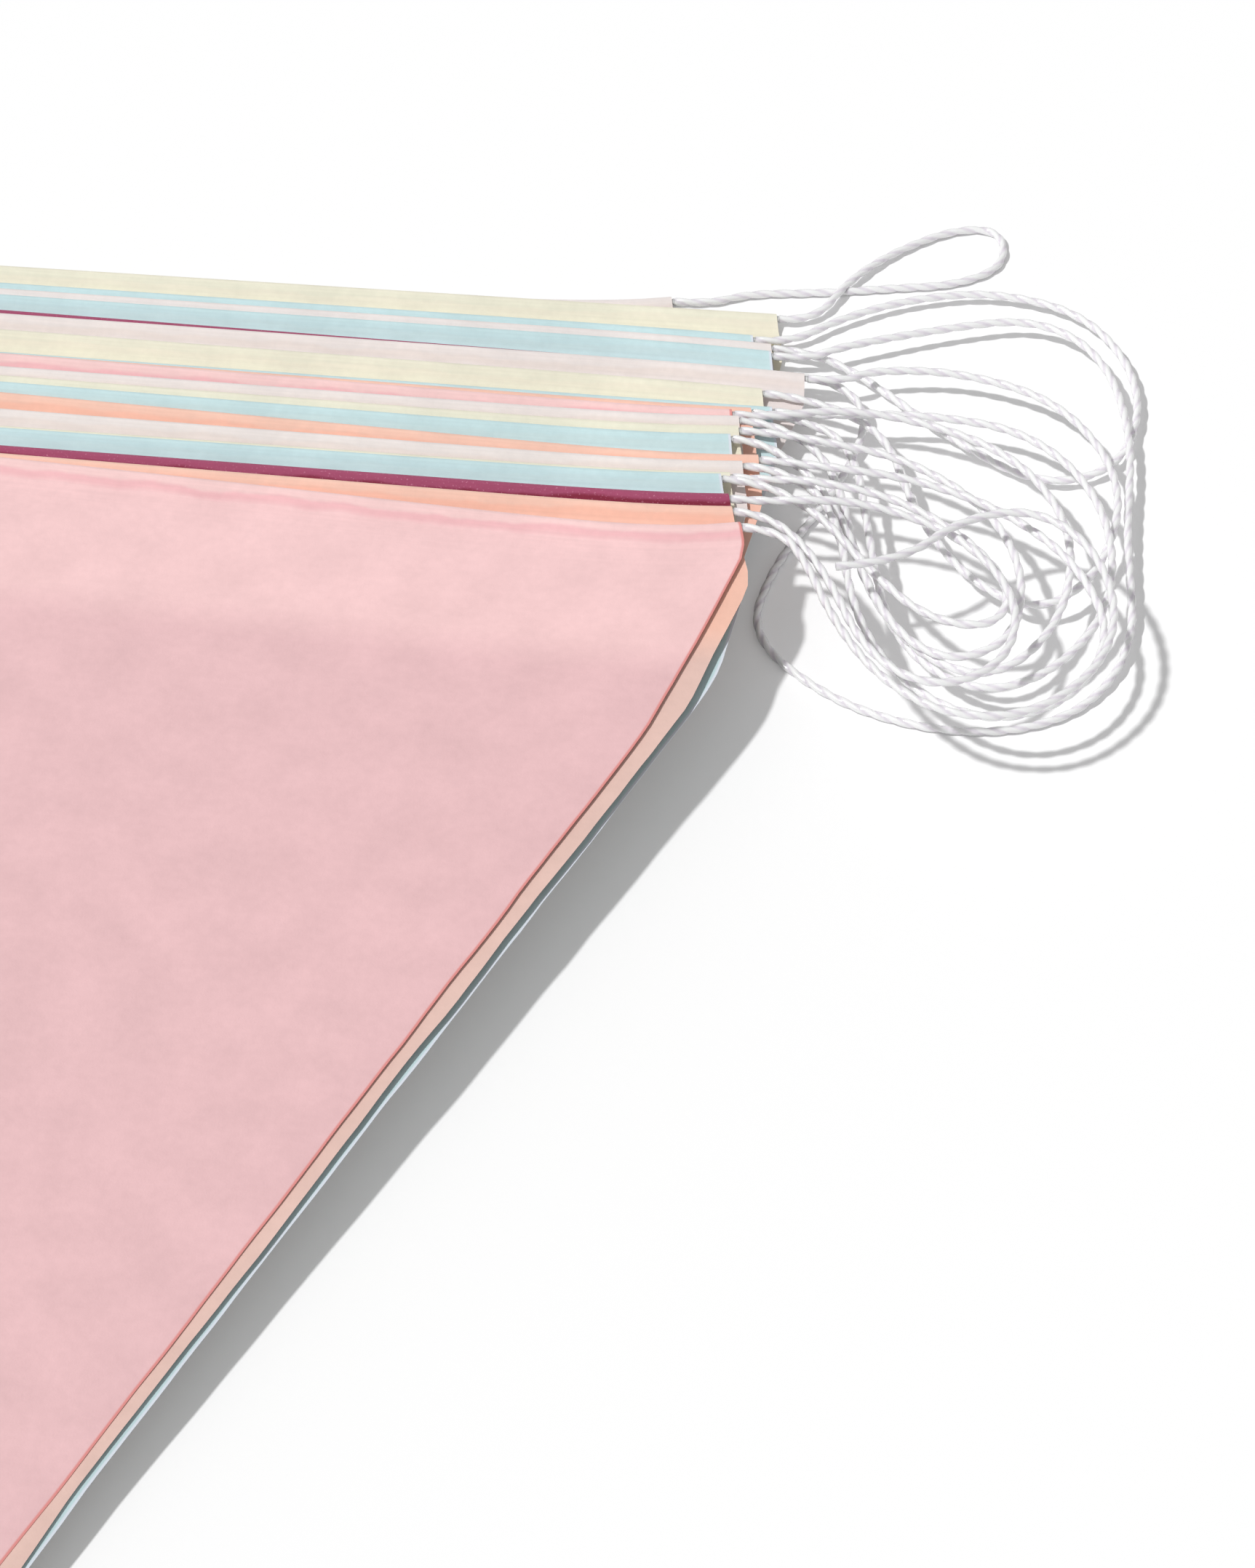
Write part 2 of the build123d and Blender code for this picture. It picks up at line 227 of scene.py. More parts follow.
LEFT_LOOPS = [(46, -38), (39, -30), (49, -22), (41, -15), (50, -8.5), (41, -1.5), (48, 4.5),
              (40, 8), (49, 15), (43, 21)]


def hairpin(upper, reach, heading):
    """Points of a loop at the left: out of one hem, down to the table, round and back."""
    lower_lead, upper_lead = (hem_exit(number, -1)[1] / MM for number in (upper + 1, upper))
    root = (lower_lead + upper_lead) / 2 - (10.0, 0, 0)
    onward = np.array((-math.cos(math.radians(heading)), math.sin(math.radians(heading)), 0))
    across = np.array((math.sin(math.radians(heading)), math.cos(math.radians(heading)), 0))

    def strand(side, height):
        steps = [(6.0, 1.2, 0.8 * height), (20.0, 2.0, 0.4 * height), (reach, 4.1, 0)]
        for distance, spread, level in steps:
            spot = root + onward * distance + across * side * spread
            yield spot[0], spot[1], max(CORD_ON_TABLE, level)

    return [*strand(1, lower_lead[2]), *reversed([*strand(-1, upper_lead[2])])]


# %% Every free stretch of cord, from hem to hem
ROUTES = {}
for (lower, upper), points in RIGHT_LOOPS.items():
    ROUTES[f"loop_right_{upper:02d}_{lower:02d}"] = [
        *hem_exit(lower - 1, 1), *(np.array(points) * MM), *reversed(hem_exit(upper - 1, 1))]
for pair, (reach, heading) in enumerate(LEFT_LOOPS):
    ROUTES[f"loop_left_{2 * pair + 1:02d}_{2 * pair + 2:02d}"] = [
        *hem_exit(2 * pair + 1, -1), *(np.array(hairpin(2 * pair, reach, heading)) * MM),
        *reversed(hem_exit(2 * pair, -1))]
ROUTES["cord_tail_right"] = [*hem_exit(0, 1), *(np.array(RIGHT_TAIL) * MM)]
ROUTES["cord_tail_left"] = [*hem_exit(COUNT - 1, -1), *(np.array(LEFT_TAIL) * MM)]


def nurbs_line(name, points):
    """The smooth line through the air that a route's points steer, read back as points."""
    curve = bpy.data.curves.new(name + "_line", "CURVE")
    curve.dimensions = "3D"
    curve.resolution_u = 16
    spline = curve.splines.new("NURBS")
    spline.points.add(len(points) - 1)
    for control, point in zip(spline.points, points):
        control.co = (*point, 1)
    spline.order_u = 3
    spline.use_endpoint_u = True
    line = bpy.data.objects.new(name + "_line", curve)
    bpy.context.scene.collection.objects.link(line)
    bpy.context.view_layer.update()
    mesh = bpy.data.meshes.new_from_object(line.evaluated_get(bpy.context.evaluated_depsgraph_get()))
    path = np.array([vertex.co[:] for vertex in mesh.vertices])
    bpy.data.objects.remove(line)
    bpy.data.curves.remove(curve)
    bpy.data.meshes.remove(mesh)
    return path


LINES = {name: nurbs_line(name, points) for name, points in ROUTES.items()}
for name, path in LINES.items():
    print(name, "is", round(float(np.linalg.norm(np.diff(path, axis=0), axis=1).sum()) / MM), "mm long")

# %% [markdown]
# ## Colours and nodes
# Colours are written as sRGB hex values, the way a paint program shows them, and one
# function turns them into the linear values that shaders work with. Another small
# function adds a node, sets its inputs and links them, so that a material reads as a
# list of steps.

# %% Helpers for colours and nodes
def linear(code, alpha=1.0):
    """An sRGB hex colour as the linear RGBA that a shader socket takes."""
    levels = [int(code[i:i + 2], 16) / 255 for i in (1, 3, 5)]
    return (*(v / 12.92 if v <= 0.04045 else ((v + 0.055) / 1.055) ** 2.4 for v in levels), alpha)


def add_node(tree, kind, inputs=None, **settings):
    """Adds a node, sets its properties, and sets or links each input that is named."""
    node = tree.nodes.new(kind)
    for key, value in settings.items():
        setattr(node, key, value)
    for key, value in (inputs or {}).items():
        if isinstance(value, bpy.types.NodeSocket):
            tree.links.new(value, node.inputs[key])
        else:
            node.inputs[key].default_value = value
    return node

# %% [markdown]
# ## Twisted cord
# The cord is polyester filament yarn in two plies, twisted together. Each ply shows as a
# slanting bead of light, a bead every 3.5 mm. The twist follows the path, so Geometry
# Nodes make it: the line is resampled, turned about itself once a lay with Set Curve
# Tilt, and a two-lobed section is swept along it. The same tree serves every stretch.

# %% The tree that sweeps a twisted cord along a line
def new_tree(name, sizes):
    """A Geometry Nodes tree with a named input for each of its sizes."""
    tree = bpy.data.node_groups.new(name, "GeometryNodeTree")
    for way in ("INPUT", "OUTPUT"):
        tree.interface.new_socket("Geometry", in_out=way, socket_type="NodeSocketGeometry")
    for label, (kind, value) in sizes.items():
        socket = tree.interface.new_socket(label, in_out="INPUT", socket_type="NodeSocket" + kind)
        if value is not None:
            socket.default_value = value
    return tree


twist = new_tree("twisted_cord", {
    "Cord radius": ("Float", CORD_DRAWN / 2 * MM), "Groove depth": ("Float", 0.3),
    "Lay length": ("Float", 7 * MM), "Step": ("Float", 0.4 * MM), "Finish": ("Material", None)})
given = add_node(twist, "NodeGroupInput")
line = add_node(twist, "GeometryNodeMeshToCurve", {0: given.outputs["Geometry"]})
even = add_node(twist, "GeometryNodeResampleCurve",
                {"Curve": line.outputs[0], "Length": given.outputs["Step"]},
                mode="LENGTH")
along = add_node(twist, "GeometryNodeSplineParameter")
turns = add_node(twist, "ShaderNodeMath", {0: along.outputs["Length"], 1: given.outputs["Lay length"]},
                 operation="DIVIDE")
angle = add_node(twist, "ShaderNodeMath", {0: turns.outputs[0], 1: 2 * math.pi}, operation="MULTIPLY")
turned = add_node(twist, "GeometryNodeSetCurveTilt", {"Curve": even.outputs[0], "Tilt": angle.outputs[0]})
kept = add_node(twist, "GeometryNodeStoreNamedAttribute",
                {"Geometry": turned.outputs[0], "Name": "along", "Value": along.outputs["Length"]},
                data_type="FLOAT", domain="POINT")
ring = add_node(twist, "GeometryNodeCurvePrimitiveCircle",
                {"Resolution": 18, "Radius": given.outputs["Cord radius"]}, mode="RADIUS")
around = add_node(twist, "GeometryNodeSplineParameter")
around_angle = add_node(twist, "ShaderNodeMath", {0: around.outputs["Factor"], 1: 2 * math.pi},
                        operation="MULTIPLY")
wave = add_node(twist, "ShaderNodeMath", {0: around_angle.outputs[0]}, operation="COSINE")
lobe = add_node(twist, "ShaderNodeMath", {0: wave.outputs[0]}, operation="ABSOLUTE")
hollow = add_node(twist, "ShaderNodeMath", {0: 1.0, 1: lobe.outputs[0]}, operation="SUBTRACT")
depth = add_node(twist, "ShaderNodeMath", {0: hollow.outputs[0], 1: given.outputs["Groove depth"]},
                 operation="MULTIPLY")
share = add_node(twist, "ShaderNodeMath", {0: 1.0, 1: depth.outputs[0]}, operation="SUBTRACT")
spot = add_node(twist, "GeometryNodeInputPosition")
drawn_in = add_node(twist, "ShaderNodeVectorMath", {0: spot.outputs[0], "Scale": share.outputs[0]},
                    operation="SCALE")
section = add_node(twist, "GeometryNodeSetPosition",
                   {"Geometry": ring.outputs[0], "Position": drawn_in.outputs[0]})
to_unit = add_node(twist, "ShaderNodeMath", {0: 1.0, 1: given.outputs["Cord radius"]}, operation="DIVIDE")
unit_ring = add_node(twist, "ShaderNodeVectorMath", {0: spot.outputs[0], "Scale": to_unit.outputs[0]},
                     operation="SCALE")
marked = add_node(twist, "GeometryNodeStoreNamedAttribute",
                  {"Geometry": section.outputs[0], "Name": "ring", "Value": unit_ring.outputs[0]},
                  data_type="FLOAT_VECTOR", domain="POINT")
swept = add_node(twist, "GeometryNodeCurveToMesh",
                 {"Curve": kept.outputs[0], "Profile Curve": marked.outputs[0], "Fill Caps": True})
whole = add_node(twist, "GeometryNodeRealizeInstances", {0: swept.outputs[0]})
smooth = add_node(twist, "GeometryNodeSetShadeSmooth", {"Geometry": whole.outputs[0]})
dressed = add_node(twist, "GeometryNodeSetMaterial",
                   {"Geometry": smooth.outputs[0], "Material": given.outputs["Finish"]})
add_node(twist, "NodeGroupOutput", {"Geometry": dressed.outputs[0]})


def grow(piece, tree, inputs):
    """Puts a node tree on a piece and sets its inputs, each by the identifier of its socket."""
    modifier = piece.modifiers.new(tree.name, "NODES")
    modifier.node_group = tree
    for socket in tree.interface.items_tree:
        if socket.item_type == "SOCKET" and socket.in_out == "INPUT" and socket.name in inputs:
            modifier[socket.identifier] = inputs[socket.name]


def plain_mesh(piece):
    """Turns a piece with its modifiers into a plain mesh of the same name."""
    bpy.context.view_layer.update()
    result = bpy.data.meshes.new_from_object(piece.evaluated_get(bpy.context.evaluated_depsgraph_get()))
    piece.modifiers.clear()
    piece.data = result
    return result

# %% [markdown]
# ## Finish of the cord
# Filament polyester is white and glossy, and its gloss runs in streaks along the fibres.
# The streaks follow the two values that the tree kept, the way along the cord and the
# place in its section, so that they turn with the twist. They give the bump, and they are
# also painted into the colour as painted gloss. The colour is painted white on the crest
# of each ply and lilac grey in the grooves between the plies: a painted highlight and
# painted groove shade. The fibres are too fine to show, about 0.02 mm, and are drawn five
# times as coarse. Some light goes into the white yarn and comes out beside where it went
# in, which is what subsurface stands for here.

# %% Polyester filament material
FIBRE = 0.1 * MM
STREAK_STRETCH = 0.12


def polyester_cord():
    material = bpy.data.materials.new("polyester_filament_white")
    material.use_nodes = True
    tree = material.node_tree
    shader = tree.nodes["Principled BSDF"]
    along = add_node(tree, "ShaderNodeAttribute", attribute_name="along")
    ring = add_node(tree, "ShaderNodeAttribute", attribute_name="ring")
    parts = add_node(tree, "ShaderNodeSeparateXYZ", {0: ring.outputs["Vector"]})
    crest = add_node(tree, "ShaderNodeMath", {0: parts.outputs["X"]}, operation="ABSOLUTE")
    long_fibres = add_node(tree, "ShaderNodeMath", {0: along.outputs["Fac"], 1: STREAK_STRETCH / FIBRE},
                           operation="MULTIPLY")
    round_fibres = add_node(tree, "ShaderNodeVectorMath",
                            {0: ring.outputs["Vector"], "Scale": CORD / 2 * MM / FIBRE},
                            operation="SCALE")
    far = add_node(tree, "ShaderNodeCombineXYZ", {"Z": long_fibres.outputs[0]})
    streaks_at = add_node(tree, "ShaderNodeVectorMath", {0: round_fibres.outputs[0], 1: far.outputs[0]},
                          operation="ADD")
    streaks = add_node(tree, "ShaderNodeTexNoise",
                       {"Vector": streaks_at.outputs[0], "Scale": 1.0, "Detail": 2.0})
    # painted highlight and painted gloss: the crest of each ply and the streaks make the colour lighter
    crest_highlight_and_gloss = add_node(tree, "ShaderNodeMath", {0: streaks.outputs["Fac"], 1: 0.5, 2: crest.outputs[0]},
                      operation="MULTIPLY_ADD")
    tint_with_painted_light = add_node(tree, "ShaderNodeValToRGB", {"Fac": crest_highlight_and_gloss.outputs[0]})
    # the lilac grey at the low end is painted shade in the grooves, and the white at the top is a painted
    # highlight on the crests
    stops = tint_with_painted_light.color_ramp.elements
    stops[0].position, stops[0].color = 0.35, linear("#E8E3EA")
    stops[1].position, stops[1].color = 1.0, linear("#FFFFFF")
    stops.new(0.75).color = linear("#F5F1F6")
    bump = add_node(tree, "ShaderNodeBump", {"Height": streaks.outputs["Fac"], "Strength": 0.5,
                                             "Distance": FIBRE * 0.6})
    tree.links.new(tint_with_painted_light.outputs["Color"], shader.inputs["Base Color"])
    tree.links.new(bump.outputs["Normal"], shader.inputs["Normal"])
    shader.inputs["Roughness"].default_value = 0.2
    shader.inputs["IOR"].default_value = 1.6
    shader.inputs["Specular IOR Level"].default_value = 1.0
    shader.inputs["Subsurface Weight"].default_value = 0.6
    shader.inputs["Subsurface Radius"].default_value = (1.0, 0.95, 1.0)
    shader.inputs["Subsurface Scale"].default_value = 1.0 * MM
    return material


CORD_FINISH = polyester_cord()

# %% Make every stretch of cord
def make_cord(name, path):
    mesh = bpy.data.meshes.new(name)
    mesh.from_pydata(path.tolist(), [(i, i + 1) for i in range(len(path) - 1)], [])
    piece = bpy.data.objects.new(name + "_twisted", mesh)
    bpy.context.scene.collection.objects.link(piece)
    grow(piece, twist, {"Finish": CORD_FINISH})
    plain_mesh(piece)
    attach(piece, "root")
    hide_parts(name)
    return len(piece.data.polygons)


print("faces in the cords", sum(make_cord(name, path) for name, path in LINES.items()))

# %% The cord inside the hems, which only its ends show
def hem_line(number, points=33):
    """Middle of the cord in a hem, which bows forward as the hem does."""
    reach = fold_half_width(number) + CORD_STUB
    along = np.linspace(-reach, reach, points)
    out = np.clip(along / fold_half_width(number), -1, 1)
    bow = PENNANTS[number][6] * (1 - abs(out) ** BOW_POWER) * ((1 + out) / 2) ** bow_lean(number)
    return place(number, along, -bow, lift(number) + ROLL_RADIUS)


stretches = [hem_line(number) for number in range(COUNT)]
hem_mesh = bpy.data.meshes.new("cord_in_hems")
hem_mesh.from_pydata(np.concatenate(stretches).tolist(),
                     [(i, i + 1) for i in range(sum(map(len, stretches)) - 1)
                      if (i + 1) % len(stretches[0])], [])
hem_cords = bpy.data.objects.new("cord_in_hems_twisted", hem_mesh)
bpy.context.scene.collection.objects.link(hem_cords)
grow(hem_cords, twist, {"Finish": CORD_FINISH, "Step": 1.5 * MM})
plain_mesh(hem_cords)
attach(hem_cords, "root")
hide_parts("cord_in_hems")
print("faces in the hems", len(hem_cords.data.polygons))

# %% [markdown]
# ## A pennant as a flat sheet
# A real pennant is cut flat: a triangle with clipped upper corners, and a strip above it
# that is folded over the cord and glued down. So it starts flat here too, as a grid whose
# rows run across the paper. The place of a row is its distance from the edge of the
# strip, in real paper length, so the flat sheet also gives the measure on which creases
# and texture are drawn later. A cut is a list of corners, each half the sheet's width at a
# depth below its fold. The pennants whose sides show have corners of their own. The loose
# edge of a sheet droops a little towards the one below, and the flap is cut a little shy
# of the body, so that it doesn't peep out beside it.

# %% Side view and cut outline of a pennant
ROW_STEP = 2.8
COLUMNS = 40
USUAL_CUT = [(99.0, 8.5), (94.5, 39.0)]
CUTS = {0: [(104.9, 3.5), (94.9, 39.0), (35.4, 176.0)], 1: [(101.6, 13.5), (94.4, 39.0), (30.0, 178.5)],
        2: [(101.3, 13.0), (93.8, 39.0), (26.5, 181.5)], 3: [(103.0, 21.5), (100.3, 40.0), (31.5, 185.0)],
        4: [(99.0, 8.5), (94.5, 39.0), (28.0, 187.5)], 14: [(97.5, 6.0), (88.0, 39.0)]}
TIP_HALF_WIDTH, TIP_ROUNDING = 0.3, 5
EDGE_DROOP, DROOP_FROM, DROOP_OVER = 0.2, 6, 20
ROOM_UNDER_WAVE = 0.9
OUTER_EDGE = 0.99
FLAP_SHY, FLAP_SHY_OVER = 0.5, 10
ROLL_POINTS = 16


def rounded(corners, radii, steps=5):
    """A line through the corners, with each bend drawn as a quadratic curve near to an arc."""
    corners = np.array(corners, float)
    line = [corners[0]]
    for before, corner, after, radius in zip(corners, corners[1:], corners[2:], radii):
        inward, outward = before - corner, after - corner
        lengths = np.linalg.norm(inward), np.linalg.norm(outward)
        opening = math.acos(np.clip(inward @ outward / (lengths[0] * lengths[1]), -1, 1))
        reach = radius * math.tan((math.pi - opening) / 2)
        start, end = corner + inward / lengths[0] * reach, corner + outward / lengths[1] * reach
        line += [(1 - t) ** 2 * start + 2 * t * (1 - t) * corner + t * t * end
                 for t in np.linspace(0, 1, steps)]
    return np.array([*line, corners[-1]])


def divided(line, step):
    """The same line, with points added on its long runs."""
    runs = [(start, end, float(np.linalg.norm(end - start))) for start, end in zip(line, line[1:])]
    parts = [np.linspace(start, end, max(1, round(length / step)), endpoint=False)
             for start, end, length in runs]
    return np.concatenate([*parts, line[-1:]])


def side_view(number):
    """The sheet seen from its side, (back, height), from the edge of the flap to the tip."""
    rest = lift(number)
    climb = total(2, COUNT - 1) - total(2, number)
    slope = (rest - (COUNT - 1 - number) * TIP_LIFT) / (PENNANT_LENGTH - climb)
    ramp = math.radians(RAMP_ANGLE)
    radius = CHANNEL_RADIUS + SHEET / 2

    def level(back, sheets_under):
        return rest + slope * back + sheets_under * SHEET

    roll = [(radius * math.cos(a), rest + ROLL_RADIUS + radius * math.sin(a))
            for a in np.linspace(-math.pi / 2, math.pi / 2 + ramp, ROLL_POINTS)]
    run = (roll[-1][1] - level(roll[-1][0], 1.5)) / (math.tan(ramp) - slope)
    foot, bend = roll[-1][0] - run, climb - PENNANT_LENGTH
    tip_height = SHEET / 2 if climb else level(-PENNANT_LENGTH, 1.5)
    body = rounded([roll[-1], (foot, level(foot, 1.5)), (bend, level(bend, 1.5)),
                    (-PENNANT_LENGTH - 0.001, tip_height)], [RAMP_ROUNDING, TIP_ROUNDING if climb else 0])
    line = [(-FLAP_DEPTH, level(-FLAP_DEPTH, 0.5)), *roll[:-1], *body]
    return divided(np.array(line), ROW_STEP)


def half_width(number, back, under):
    """Half the width of the sheet at a place, for the body or for the flap under it."""
    corners = CUTS.get(number, USUAL_CUT)
    outline = rounded([(fold_half_width(number), 1), *((half, -depth) for half, depth in corners),
                       (TIP_HALF_WIDTH, -PENNANT_LENGTH)],
                      [SHOULDER_ROUNDING, *[WAIST_ROUNDING] * len(corners[1:])])
    body = np.interp(-back, -outline[:, 1], outline[:, 0])
    flap = np.minimum(body - FLAP_SHY * np.clip(-back / FLAP_SHY_OVER, 0, 1), fold_half_width(number))
    return np.where(under, flap, body)


def flat_sheet(number, side):
    """The sheet before it is folded, with x along the hem and y the distance from the flap's edge.

    Its z is how far the loose cut edge droops, which stops short of the table, and which
    the lowest sheet doesn't do. Its attribute from_cut is how many millimetres a point lies
    inside the cut.
    """
    distance = np.concatenate([[0], np.cumsum(np.linalg.norm(np.diff(side, axis=0), axis=1))])
    half = half_width(number, side[:, 0], distance <= FLAP_DEPTH)
    across = np.linspace(-1, 1, COLUMNS + 1)
    loose = np.clip((-side[:, 0] - DROOP_FROM) / DROOP_OVER, 0, 1) * (number < COUNT - 1)
    droop = np.clip(ROOM_UNDER_WAVE * side[:, 1] - SHEET / 2, 0, EDGE_DROOP) * loose
    points = np.stack([across * half[:, None], np.repeat(distance[:, None], COLUMNS + 1, 1),
                       -droop[:, None] * (abs(across) > OUTER_EDGE)], axis=-1).reshape(-1, 3) * MM
    corners = [row * (COLUMNS + 1) + column for row in range(len(side) - 1) for column in range(COLUMNS)]
    faces = [(c, c + 1, c + COLUMNS + 2, c + COLUMNS + 1) for c in corners]
    mesh = bpy.data.meshes.new("flat_sheet")
    mesh.from_pydata(points.tolist(), [], faces)
    from_cut = (1 - abs(across)) * half[:, None]
    mesh.attributes.new("from_cut", "FLOAT", "POINT").data.foreach_set("value", from_cut.ravel())
    area = float(np.sum((half[1:] + half[:-1]) * np.diff(distance))) * MM * MM
    return mesh, area, (2 * float(half.max()) * MM, float(distance[-1]) * MM)


# %% [markdown]
# ## Folding the sheets
# All the pennants are folded by one rule, so one Geometry Nodes tree does it for all of
# them: each point of the flat sheet is carried to the spot that lies as far along the
# side view, and the whole is turned and put at its place in the pile. Then the tree adds
# what makes it paper. The hem bows forward, and the bow dies out behind it. The cut edge
# wavers a little, as scissors do, and the pile isn't quite flat. All the sheets share one
# wave, which only stretches their heights, so that they lie in each other. Noise mostly
# stays near its middle, so it is spread over a wider swing than it is meant to fill.

# %% The tree that folds a flat sheet along its side view
UV_UNIT = 100
AT_HEM, AWAY_FROM_HEM = 6, 45
SWING = 2.0

fold = new_tree("folded_pennant", {
    "Side view": ("Object", None), "Turn": ("Float", 0.0), "Place": ("Vector", (0, 0, 0)),
    "Bow": ("Float", 0.0), "Bow lean": ("Float", 0.0), "Hem half width": ("Float", FOLD_HALF_WIDTH * MM),
    "Wave height": ("Float", 0.035), "Wave length": ("Float", 50 * MM), "Cut waver": ("Float", 0.003),
    "Waver length": ("Float", 14 * MM), "Seed": ("Float", 0.0), "Finish": ("Material", None)})
given = add_node(fold, "NodeGroupInput")
spot = add_node(fold, "GeometryNodeInputPosition")
paper_measure = add_node(fold, "ShaderNodeVectorMath", {0: spot.outputs[0], "Scale": 1 / (UV_UNIT * MM)},
                         operation="SCALE")
marked = add_node(fold, "GeometryNodeStoreNamedAttribute",
                  {"Geometry": given.outputs["Geometry"], "Name": "UVMap",
                   "Value": paper_measure.outputs[0]},
                  data_type="FLOAT2", domain="CORNER")
flat = add_node(fold, "ShaderNodeSeparateXYZ", {0: spot.outputs[0]})
drawing = add_node(fold, "GeometryNodeObjectInfo", {"Object": given.outputs["Side view"]})
path = add_node(fold, "GeometryNodeMeshToCurve", {0: drawing.outputs["Geometry"]})
carried = add_node(fold, "GeometryNodeSampleCurve",
                   {"Curves": path.outputs[0], "Length": flat.outputs["Y"]}, mode="LENGTH")
folded = add_node(fold, "ShaderNodeSeparateXYZ", {0: carried.outputs["Position"]})
away = add_node(fold, "ShaderNodeMapRange",
                {"Value": folded.outputs["Y"], "From Min": -AWAY_FROM_HEM * MM, "From Max": -AT_HEM * MM,
                 "To Min": 1.0, "To Max": 0.0},
                interpolation_type="SMOOTHSTEP")
edge = add_node(fold, "ShaderNodeMath", {0: flat.outputs["X"]}, operation="SIGN")
waver_at = add_node(fold, "ShaderNodeCombineXYZ",
                    {"X": flat.outputs["Y"], "Y": edge.outputs[0], "Z": given.outputs["Seed"]})
waver_scale = add_node(fold, "ShaderNodeMath", {0: 1.0, 1: given.outputs["Waver length"]},
                       operation="DIVIDE")
waver = add_node(fold, "ShaderNodeTexNoise",
                 {"Vector": waver_at.outputs[0], "Scale": waver_scale.outputs[0], "Detail": 1.0})
swing = add_node(fold, "ShaderNodeMapRange",
                 {"Value": waver.outputs["Fac"], "To Min": -SWING, "To Max": SWING})
faded = add_node(fold, "ShaderNodeMath", {0: swing.outputs[0], 1: away.outputs[0]}, operation="MULTIPLY")
stretch = add_node(fold, "ShaderNodeMath", {0: faded.outputs[0], 1: given.outputs["Cut waver"], 2: 1.0},
                   operation="MULTIPLY_ADD")
across = add_node(fold, "ShaderNodeMath", {0: flat.outputs["X"], 1: stretch.outputs[0]},
                  operation="MULTIPLY")
out = add_node(fold, "ShaderNodeMath", {0: flat.outputs["X"], 1: given.outputs["Hem half width"]},
               operation="DIVIDE")
out_share = add_node(fold, "ShaderNodeMath", {0: out.outputs[0]}, operation="ABSOLUTE", use_clamp=True)
end_share = add_node(fold, "ShaderNodeMath", {0: out_share.outputs[0], 1: BOW_POWER}, operation="POWER")
bow_share = add_node(fold, "ShaderNodeMath", {0: 1.0, 1: end_share.outputs[0]}, operation="SUBTRACT")
from_left = add_node(fold, "ShaderNodeMath", {0: out.outputs[0], 1: 0.5, 2: 0.5},
                     operation="MULTIPLY_ADD", use_clamp=True)
leaning = add_node(fold, "ShaderNodeMath", {0: from_left.outputs[0], 1: given.outputs["Bow lean"]},
                   operation="POWER")
bow_here = add_node(fold, "ShaderNodeMath", {0: bow_share.outputs[0], 1: leaning.outputs[0]},
                    operation="MULTIPLY")
near = add_node(fold, "ShaderNodeMath", {0: 1.0, 1: away.outputs[0]}, operation="SUBTRACT")
at_hem = add_node(fold, "ShaderNodeMath", {0: bow_here.outputs[0], 1: near.outputs[0]},
                  operation="MULTIPLY")
bow = add_node(fold, "ShaderNodeMath", {0: at_hem.outputs[0], 1: given.outputs["Bow"]},
               operation="MULTIPLY")
back = add_node(fold, "ShaderNodeMath", {0: folded.outputs["Y"], 1: bow.outputs[0]}, operation="SUBTRACT")
bent = add_node(fold, "ShaderNodeCombineXYZ",
                {"X": across.outputs[0], "Y": back.outputs[0], "Z": folded.outputs["Z"]})
turned = add_node(fold, "ShaderNodeVectorRotate",
                  {"Vector": bent.outputs[0], "Angle": given.outputs["Turn"]},
                  rotation_type="Z_AXIS")
placed = add_node(fold, "ShaderNodeVectorMath", {0: turned.outputs[0], 1: given.outputs["Place"]},
                  operation="ADD")
parts = add_node(fold, "ShaderNodeSeparateXYZ", {0: placed.outputs[0]})
wave_scale = add_node(fold, "ShaderNodeMath", {0: 1.0, 1: given.outputs["Wave length"]},
                      operation="DIVIDE")
plan = add_node(fold, "ShaderNodeCombineXYZ", {"X": parts.outputs["X"], "Y": parts.outputs["Y"]})
wave = add_node(fold, "ShaderNodeTexNoise",
                {"Vector": plan.outputs[0], "Scale": wave_scale.outputs[0], "Detail": 2.0})
rise = add_node(fold, "ShaderNodeMapRange", {"Value": wave.outputs["Fac"], "To Min": -SWING, "To Max": SWING})
gentle = add_node(fold, "ShaderNodeMath", {0: rise.outputs[0], 1: away.outputs[0]}, operation="MULTIPLY")
raised = add_node(fold, "ShaderNodeMath", {0: gentle.outputs[0], 1: given.outputs["Wave height"], 2: 1.0},
                  operation="MULTIPLY_ADD")
height = add_node(fold, "ShaderNodeMath", {0: parts.outputs["Z"], 1: raised.outputs[0]},
                  operation="MULTIPLY")
drooped = add_node(fold, "ShaderNodeMath", {0: height.outputs[0], 1: flat.outputs["Z"]}, operation="ADD")
final = add_node(fold, "ShaderNodeCombineXYZ",
                 {"X": parts.outputs["X"], "Y": parts.outputs["Y"], "Z": drooped.outputs[0]})
moved = add_node(fold, "GeometryNodeSetPosition",
                 {"Geometry": marked.outputs[0], "Position": final.outputs[0]})
whole = add_node(fold, "GeometryNodeRealizeInstances", {0: moved.outputs[0]})
smooth = add_node(fold, "GeometryNodeSetShadeSmooth", {"Geometry": whole.outputs[0]})
dressed = add_node(fold, "GeometryNodeSetMaterial",
                   {"Geometry": smooth.outputs[0], "Material": given.outputs["Finish"]})
add_node(fold, "NodeGroupOutput", {"Geometry": dressed.outputs[0]})
